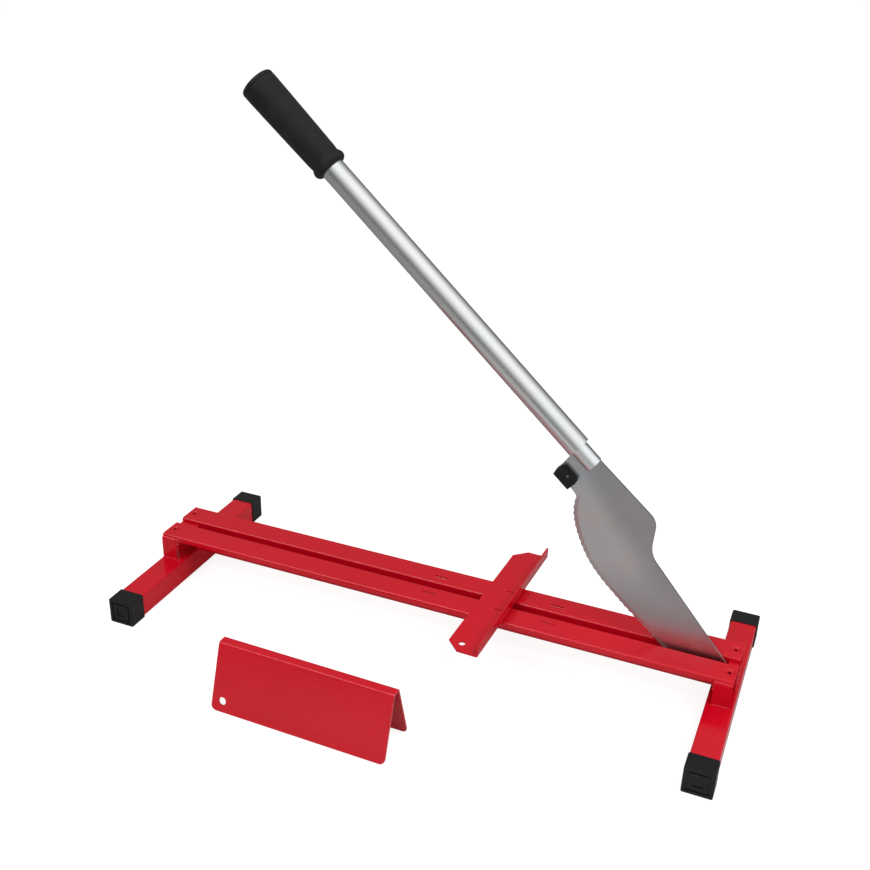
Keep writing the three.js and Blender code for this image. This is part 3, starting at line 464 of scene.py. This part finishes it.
def black_plastic(name, deep, pale, roughness, grain, grain_depth):
    """Moulded black with a fine grain that holds a little dust."""
    material, nodes = new_material(name)
    cloud = nodes.noise(*PLASTIC_CLOUD)
    grains = nodes.noise(*grain)
    base = nodes.mix(nodes.steps(cloud, *PLASTIC_CLOUD_SPAN), deep, pale)
    dust = nodes.steps(grains, *PLASTIC_DUST_SPAN, 0.0, PLASTIC_DUST_SHARE)
    finish_material(nodes, {
        "Base Color": nodes.mix(dust, base, PLASTIC_DUST_COLOUR),
        "Roughness": nodes.spread(cloud, *roughness),
        "Normal": nodes.bump(grains, grain_depth),
        "IOR": PLASTIC_IOR,
    })
    return material


def grip_rubber():
    """Dull moulded black, with painted shade darkening the groove round the grip."""
    material, nodes = new_material("grip_rubber")
    station = nodes.measure("DOT_PRODUCT", nodes.spot(), tuple(lever_direction()))
    off = nodes.calc("ABSOLUTE", nodes.calc("SUBTRACT", station, groove_station()))
    half = GROOVE_HALF * MM
    # Painted shade: full near the groove's middle, fading out towards its sides
    groove = nodes.steps(off, half * GROOVE_SHADE_CORE, half, 1.0, 0.0)
    cloud = nodes.noise(*GRIP_CLOUD)
    grain = nodes.noise(*GRIP_GRAIN)
    base = nodes.mix(nodes.spread(cloud, 0.0, 1.0), GRIP_DEEP, GRIP_PALE)
    dust = nodes.steps(grain, *GRIP_DUST_SPAN, 0.0, GRIP_DUST_SHARE)
    dusty = nodes.mix(dust, base, GRIP_DUST_COLOUR)
    share = nodes.calc("MULTIPLY", groove, GRIP_GROOVE_SHADE_SHARE)
    finish_material(nodes, {
        "Base Color": nodes.mix(share, dusty, GRIP_GROOVE_PAINTED_SHADE),
        "Roughness": nodes.spread(cloud, *GRIP_ROUGHNESS),
        "Normal": nodes.bump(grain, GRIP_GRAIN_DEPTH),
        "IOR": GRIP_IOR,
    })
    return material


def bright_tube(name, cool, warm, extra_roughness):
    """Bright plated steel with fine drawn lines along the lever."""
    material, nodes = new_material(name)
    drawn = lines_along(nodes, TUBE_DRAWN, LEVER_DEGREES)
    cloud = nodes.noise(*TUBE_CLOUD)
    line = nodes.steps(drawn, *TUBE_DRAWN_SPAN, 0.0, TUBE_DRAWN_SHARE)
    line_colour = tuple(TUBE_DRAWN_SHADE * part for part in cool)
    dull = nodes.calc("ADD", nodes.spread(cloud, *TUBE_ROUGHNESS), extra_roughness)
    finish_material(nodes, {
        "Base Color": nodes.mix(line, nodes.mix(cloud, cool, warm), line_colour),
        "Metallic": 1.0,
        "Roughness": nodes.calc("ADD", dull, nodes.spread(drawn, 0.0, TUBE_DRAWN_ROUGHNESS)),
        "Normal": nodes.bump(drawn, TUBE_DRAWN_DEPTH),
    })
    return material


def blade_tone(nodes, cloud):
    """The blade's tone by place, and how much of the painted reflection its foot takes."""
    spot = nodes.spot()
    height = nodes.part(spot, "Z")
    wander = nodes.spread(cloud, -BLADE_BORDER_WANDER, BLADE_BORDER_WANDER)
    inland = nodes.calc("ADD", nodes.measure("DOT_PRODUCT", spot, BLADE_INLAND), wander)
    past_border = nodes.steps(inland, *BLADE_BORDER, kind="SMOOTHSTEP")
    top = nodes.steps(height, *BLADE_TOP_HEIGHTS)
    pale = nodes.mix(top, BLADE_PALE, BLADE_TOP_PALE)
    dark = nodes.mix(top, BLADE_DARK, BLADE_TOP_DARK)
    banded = nodes.mix(past_border, pale, dark)
    low_down = nodes.steps(height, *BLADE_EVEN_HEIGHTS, 1.0, 0.0)
    # Painted reflection: the foot just above the rails is made paler
    foot = nodes.steps(height, *BLADE_PAINTED_SHEEN_HEIGHTS, BLADE_PAINTED_SHEEN_SHARE, 0.0)
    return nodes.mix(low_down, banded, BLADE_EVEN), foot


def blade_bevel(nodes):
    """1 on the ground bevel of the cutting edge, and 0 on the flat sides and the thin edges."""
    normal = nodes.add("ShaderNodeNewGeometry").outputs["True Normal"]
    sideways = nodes.calc("ABSOLUTE", nodes.part(normal, "Y"))
    off_side = nodes.steps(sideways, *BLADE_SIDE_FACING, 1.0, 0.0)
    return nodes.calc("MULTIPLY", off_side, nodes.steps(sideways, *BLADE_EDGE_FACING))


def blade_steel():
    """Ground steel with fine lines, faint hues and stains, a foot painted paler as a reflection,
    and a bevel tinted cyan against red bounce light.
    """
    material, nodes = new_material("blade_steel")
    ground = lines_along(nodes, BLADE_GROUND, BLADE_GRAIN_DEGREES)
    cloud = nodes.noise(*BLADE_CLOUD)
    tone, foot = blade_tone(nodes, cloud)
    hue = nodes.steps(nodes.noise(*BLADE_HUE), *BLADE_HUE_SPAN)
    tinted = nodes.mix(1.0, tone, nodes.mix(hue, BLADE_HUE_COOL, BLADE_HUE_WARM), "MULTIPLY")
    line = nodes.steps(ground, *BLADE_GROUND_SPAN, 0.0, BLADE_GROUND_SHARE)
    lined = nodes.mix(line, tinted, BLADE_GROUND_COLOUR)
    stain = nodes.steps(nodes.noise(*BLADE_STAIN), *BLADE_STAIN_SPAN, 0.0, BLADE_STAIN_SHARE)
    stained = nodes.mix(stain, lined, BLADE_STAIN_COLOUR)
    # The foot takes the painted reflection's paler colour
    with_painted_sheen = nodes.mix(foot, stained, BLADE_PAINTED_SHEEN)
    bevel = blade_bevel(nodes)
    dull = nodes.spread(cloud, *BLADE_ROUGHNESS)
    finish_material(nodes, {
        # The bevel's cyan tint cancels red bounce light, a painted correction of light
        "Base Color": nodes.mix(bevel, with_painted_sheen, BLADE_BEVEL),
        "Metallic": nodes.steps(bevel, 0.0, 1.0, 1.0, BLADE_BEVEL_METALLIC),
        "Roughness": nodes.calc("ADD", dull, nodes.spread(ground, 0.0, BLADE_GROUND_ROUGHNESS)),
        "Normal": nodes.bump(ground, BLADE_GROUND_DEPTH),
    })
    return material


def plated_steel(name, dark, pale, roughness):
    """Plated or blackened steel of the small fasteners."""
    material, nodes = new_material(name)
    cloud = nodes.noise(*PLATED_CLOUD)
    finish_material(nodes, {
        "Base Color": nodes.mix(cloud, dark, pale),
        "Metallic": 1.0,
        "Roughness": nodes.spread(cloud, *roughness),
        "Normal": nodes.bump(nodes.noise(*PLATED_FINE), PLATED_FINE_DEPTH),
    })
    return material


MATERIALS = {
    "red_paint": red_paint(),
    "black_plastic": black_plastic("black_plastic", **CAP_PLASTIC),
    "black_rubber": black_plastic("black_rubber", **STOP_RUBBER),
    "bright_tube": bright_tube("bright_tube", **LEVER_TUBE),
    "blade_steel": blade_steel(),
    "zinc_steel": plated_steel("zinc_steel", **ZINC),
    "dark_steel": plated_steel("dark_steel", **BLACKENED),
}

# Nodes whose finish differs a little from the rest of their slot
OWN_FINISHES = {
    "grip": grip_rubber(),
    "lever_stub": bright_tube("pale_stub", **LEVER_STUB),
    "pivot_bolt": plated_steel("dark_bolt", **PIVOT_STEEL),
    "pivot_nut": plated_steel("dark_nut", **PIVOT_STEEL),
    "stop_pin": plated_steel("dull_pin", **PIN_STEEL),
}


def dress_nodes():
    """Gives each CAD node its finish and small rounds on its edges."""
    for part in frame["record"]["subparts"]:
        node = NODES[part["node"]]
        slot = part["material_slot"]
        node.data.materials.clear()
        node.data.materials.append(OWN_FINISHES.get(part["node"], MATERIALS[slot]))
        edge = node.modifiers.new("edge", "BEVEL")
        edge.width = EDGE_ROUNDS[slot] * MM
        edge.segments = EDGE_SEGMENTS
        edge.limit_method = "ANGLE"
        edge.angle_limit = math.radians(EDGE_ANGLE)


def add_piece(name, shape, slot, body, finish=None):
    mesh = new_mesh(name, shape)
    for face in mesh.polygons:
        face.use_smooth = True
    mesh.materials.append(finish or MATERIALS[slot])
    piece = add_object(name, mesh)
    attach(piece, body)
    return piece


def weld_bead(name, start, end, bead_radius=WELD_RADIUS):
    """A rippled bead along a line, half sunk into what it joins."""
    start, end = Vector(start), Vector(end)
    along = (end - start).normalized()
    side = along.orthogonal().normalized()
    up = side.cross(along)
    length = (end - start).length
    count = max(2, round(length / (WELD_PITCH * MM))) * WELD_STEPS
    shape = bmesh.new()
    rings = []
    for step in range(count + 1):
        share = step / count
        taper = min(1.0, WELD_TAPER * min(share, 1.0 - share) + WELD_TIP)
        wave = 1.0 - WELD_RIPPLE * abs(math.cos(math.pi * step / WELD_STEPS))
        radius = bead_radius * MM * taper * wave
        middle = start.lerp(end, share)
        rings.append([
            shape.verts.new(middle + (side * math.cos(turn) + up * math.sin(turn)) * radius)
            for turn in (2 * math.pi * index / WELD_SIDES for index in range(WELD_SIDES))
        ])
    for near, far in zip(rings, rings[1:]):
        for index in range(WELD_SIDES):
            after = (index + 1) % WELD_SIDES
            shape.faces.new((near[index], near[after], far[after], far[index]))
    shape.faces.new(rings[0][::-1])
    shape.faces.new(rings[-1])
    bmesh.ops.recalc_face_normals(shape, faces=shape.faces)
    add_piece(name, shape, "red_paint", "base")


def outer_y(node, side):
    """Where the face of a node lies that looks away from the slot."""
    low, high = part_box(node)
    return low[1] if side == "front" else high[1]


def weld_saddles():
    """Beads along the saddles' feet, and upright ones where the rails' lips meet the saddles."""
    for end in ENDS:
        tube_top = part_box(f"{end}_foot_tube")[1][2]
        for side in SIDES:
            saddle = f"{side}_{end}_saddle"
            low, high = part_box(saddle)
            y = outer_y(saddle, side)
            weld_bead(f"{saddle}_weld", (low[0], y, tube_top), (high[0], y, tube_top))
            x = high[0] if end == "left" else low[0]
            y = outer_y(f"{side}_rail", side)
            top = high[2] - LIP_WELD_TOP * MM
            foot = top - LIP_WELD_LENGTH * MM
            weld_bead(f"{side}_{end}_lip_weld", (x, y, top), (x, y, foot), LIP_WELD_RADIUS)


def weld_rail_ends():
    """Upright beads that join each slot flange to the spacer at the bed's ends."""
    for side in SIDES:
        low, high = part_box(f"{side}_rail")
        y = high[1] - FLANGE_HALF * MM if side == "front" else low[1] + FLANGE_HALF * MM
        foot = low[2] - END_WELD_FOOT * MM
        top = high[2] - END_WELD_TOP * MM
        for end, x in zip(ENDS, (low[0], high[0])):
            weld_bead(f"{side}_{end}_end_weld", (x, y, foot), (x, y, top), END_WELD_RADIUS)


def screw_shade_discs():
    """Dark discs on the bottoms of the rail screws' sockets: painted shade for the recesses."""
    for end in ENDS:
        for side in SIDES:
            low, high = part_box(f"{side}_{end}_rail_screw")
            middle = (
                (low[0] + high[0]) / 2,
                (low[1] + high[1]) / 2,
                high[2] - (SOCKET_DEPTH - SHADE_DISC_HEIGHT / 2) * MM,
            )
            shape = bmesh.new()
            bmesh.ops.create_cone(
                shape, cap_ends=True, segments=SHADE_DISC_SIDES, depth=SHADE_DISC_HEIGHT * MM,
                radius1=SHADE_DISC_RADIUS * MM, radius2=SHADE_DISC_RADIUS * MM,
                matrix=Matrix.Translation(middle),
            )
            # A dark disc that paints the shade at the bottom of the socket
            add_piece(f"{side}_{end}_screw_shade_disc", shape, "dark_steel", "base")


def blade_mark():
    """A flat round mark that stands a little proud of the blade's front side."""
    front_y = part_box("blade")[0][1]
    across, around = MARK_SEGMENTS
    shape = bmesh.new()
    bmesh.ops.create_uvsphere(
        shape, u_segments=across, v_segments=around, radius=MARK_RADIUS * MM)
    bmesh.ops.scale(shape, vec=(1.0, MARK_RISE / MARK_RADIUS, 1.0), verts=shape.verts)
    middle = (MARK_PLACE[0] * MM, front_y, MARK_PLACE[1] * MM)
    bmesh.ops.translate(shape, vec=middle, verts=shape.verts)
    add_piece("blade_mark", shape, "zinc_steel", "lever")


def grooved_grip():
    """A copy of the grip in its own place, with a groove cut round it near its closed end."""
    along = lever_direction()
    level = Vector((0.0, 1.0, 0.0))
    across = along.cross(level)
    station = groove_station()
    shape = bmesh.new()
    shape.from_mesh(NODES["grip"].data)
    for shift in (-GROOVE_HALF, 0.0, GROOVE_HALF):
        bmesh.ops.bisect_plane(
            shape, geom=shape.verts[:] + shape.edges[:] + shape.faces[:], dist=GROOVE_CUT_WIDTH,
            plane_co=along * (station + shift * MM), plane_no=along,
        )
    ring = [
        vertex for vertex in shape.verts
        if abs(vertex.co.dot(along) - station) < GROOVE_TOLERANCE
    ]
    centre = along * station
    for way in (level, across):
        reach = [vertex.co.dot(way) for vertex in ring]
        centre += way * (min(reach) + max(reach)) / 2
    radius = max((vertex.co - centre).length for vertex in ring)
    for vertex in ring:
        if (vertex.co - centre).length > GRIP_SKIN_SHARE * radius:
            vertex.co += (centre - vertex.co).normalized() * GROOVE_DEPTH * MM
    sleeve = add_piece("grip_sleeve", shape, "black_plastic", "lever", OWN_FINISHES["grip"])
    sleeve.data.set_sharp_from_angle(angle=math.radians(EDGE_ANGLE))
    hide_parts("grip")


def make_floor():
    shape = bmesh.new()
    bmesh.ops.create_circle(shape, cap_ends=True, radius=FLOOR_RADIUS, segments=FLOOR_CORNERS)
    floor = add_object("floor", new_mesh("floor", shape))
    floor.location.z = -FLOOR_DROP
    material, nodes = new_material("floor")
    path = nodes.add("ShaderNodeLightPath").outputs
    # Painted pool of light, seen only in reflections: paler near one place, darker away from it
    away = nodes.measure("DISTANCE", nodes.spot(), FLOOR_POOL_OF_LIGHT_PLACE)
    mirrored = nodes.steps(away, *FLOOR_POOL_OF_LIGHT_SPAN, *FLOOR_MIRRORED_POOL_OF_LIGHT)
    plain = nodes.spread(nodes.noise(*FLOOR_CLOUD), *FLOOR_TONES)
    lit = nodes.mix(path["Is Glossy Ray"], plain, mirrored)
    colour = nodes.mix(path["Is Camera Ray"], lit, (FLOOR_SEEN,) * 3)
    diffuse = nodes.add("ShaderNodeBsdfDiffuse", {"Color": colour})
    strength = nodes.calc("MULTIPLY", path["Is Camera Ray"], FLOOR_GLOW)
    glow = nodes.add("ShaderNodeEmission", {"Strength": strength})
    both = nodes.add("ShaderNodeAddShader", {0: diffuse.outputs[0], 1: glow.outputs[0]})
    nodes.add("ShaderNodeOutputMaterial", {"Surface": both.outputs[0]})
    floor.data.materials.append(material)


def box_glow(nodes, way, direction, span):
    """0 to 1: how far a way into the room points at a soft box."""
    aim = tuple(Vector(direction).normalized())
    return nodes.steps(nodes.measure("DOT_PRODUCT", way, aim), *span)


def make_world():
    """White to the camera, an even grey as light, and a room with soft boxes where mirrored."""
    world = bpy.data.worlds.new("studio")
    world.use_nodes = True
    bpy.context.scene.world = world
    nodes = Nodes(world.node_tree)
    way = nodes.add("ShaderNodeTexCoord").outputs["Generated"]
    room = nodes.steps(nodes.part(way, "Z"), *ROOM_HEIGHTS, *ROOM_TONES)
    large = nodes.calc("POWER", box_glow(nodes, way, BOX_DIRECTION, BOX_SPAN), BOX_FALLOFF)
    small = box_glow(nodes, way, SMALL_BOX_DIRECTION, SMALL_BOX_SPAN)
    large_glow = nodes.calc("MULTIPLY", large, BOX_GLOW)
    small_glow = nodes.calc("MULTIPLY", small, SMALL_BOX_GLOW)
    mirrored = nodes.calc("ADD", room, nodes.calc("ADD", large_glow, small_glow))
    path = nodes.add("ShaderNodeLightPath").outputs
    glossy = nodes.mix(path["Is Glossy Ray"], (WORLD_DIFFUSE,) * 3, mirrored)
    colour = nodes.mix(path["Is Camera Ray"], glossy, WHITE)
    back = nodes.add("ShaderNodeBackground", {"Color": colour, "Strength": 1.0})
    nodes.add("ShaderNodeOutputWorld", {"Surface": back.outputs[0]})


make_camera()
bpy.context.scene.view_settings.view_transform = "Standard"
make_world()
for name, lamp in LAMPS.items():
    area_lamp(name, **lamp)
make_floor()
dress_nodes()
weld_saddles()
weld_rail_ends()
screw_shade_discs()
blade_mark()
grooved_grip()
